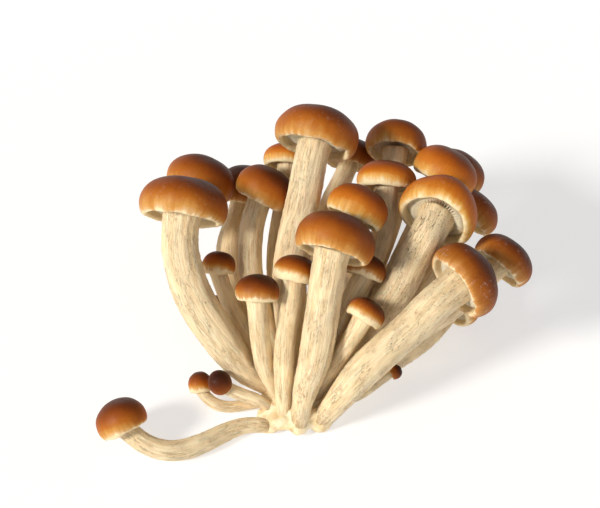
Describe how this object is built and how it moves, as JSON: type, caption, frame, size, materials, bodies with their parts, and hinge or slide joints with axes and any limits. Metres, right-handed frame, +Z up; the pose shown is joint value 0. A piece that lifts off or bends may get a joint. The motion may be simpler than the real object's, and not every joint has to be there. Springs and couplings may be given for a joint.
{
  "type": "beech mushroom cluster",
  "caption": "Cluster of brown-capped beech mushrooms grown from one root, picked whole and lying back on a table.",
  "frame": {"origin": "middle of the flat cut face under the root, on the table", "axes": "+X to the right across the cluster as seen from the front, +Y to the back, the way the mushrooms lean, +Z up"},
  "size_m": [0.1299, 0.1009, 0.0742],
  "materials": {
    "cap_skin": "smooth brown mushroom skin with a satin sheen, amber at the margin",
    "stem_flesh": "dull cream mushroom flesh with fine lengthwise fibres",
    "root_flesh": "dull yellowish mushroom flesh, cut flat underneath"
  },
  "bodies": {
    "root": {"root": "root_flesh", "stem_01": "stem_flesh", "stem_02": "stem_flesh", "stem_03": "stem_flesh", "stem_04": "stem_flesh", "stem_05": "stem_flesh", "stem_06": "stem_flesh", "stem_07": "stem_flesh", "stem_08": "stem_flesh", "stem_09": "stem_flesh", "stem_10": "stem_flesh", "stem_11": "stem_flesh", "stem_12": "stem_flesh", "stem_13": "stem_flesh", "stem_14": "stem_flesh", "stem_15": "stem_flesh", "stem_16": "stem_flesh", "stem_17": "stem_flesh", "stem_18": "stem_flesh", "stem_19": "stem_flesh", "stem_20": "stem_flesh", "stem_21": "stem_flesh", "stem_22": "stem_flesh", "stem_23": "stem_flesh", "stem_24": "stem_flesh", "stem_25": "stem_flesh", "stem_26": "stem_flesh", "stem_27": "stem_flesh", "stem_28": "stem_flesh", "stem_29": "stem_flesh", "cap_01": "cap_skin", "cap_02": "cap_skin", "cap_03": "cap_skin", "cap_04": "cap_skin", "cap_05": "cap_skin", "cap_06": "cap_skin", "cap_07": "cap_skin", "cap_08": "cap_skin", "cap_09": "cap_skin", "cap_10": "cap_skin", "cap_11": "cap_skin", "cap_12": "cap_skin", "cap_13": "cap_skin", "cap_14": "cap_skin", "cap_15": "cap_skin", "cap_16": "cap_skin", "cap_17": "cap_skin", "cap_18": "cap_skin", "cap_19": "cap_skin", "cap_20": "cap_skin", "cap_21": "cap_skin", "cap_22": "cap_skin", "cap_23": "cap_skin", "cap_24": "cap_skin", "cap_25": "cap_skin", "cap_26": "cap_skin", "cap_27": "cap_skin", "cap_28": "cap_skin", "cap_29": "cap_skin"}
  },
  "joints": []
}
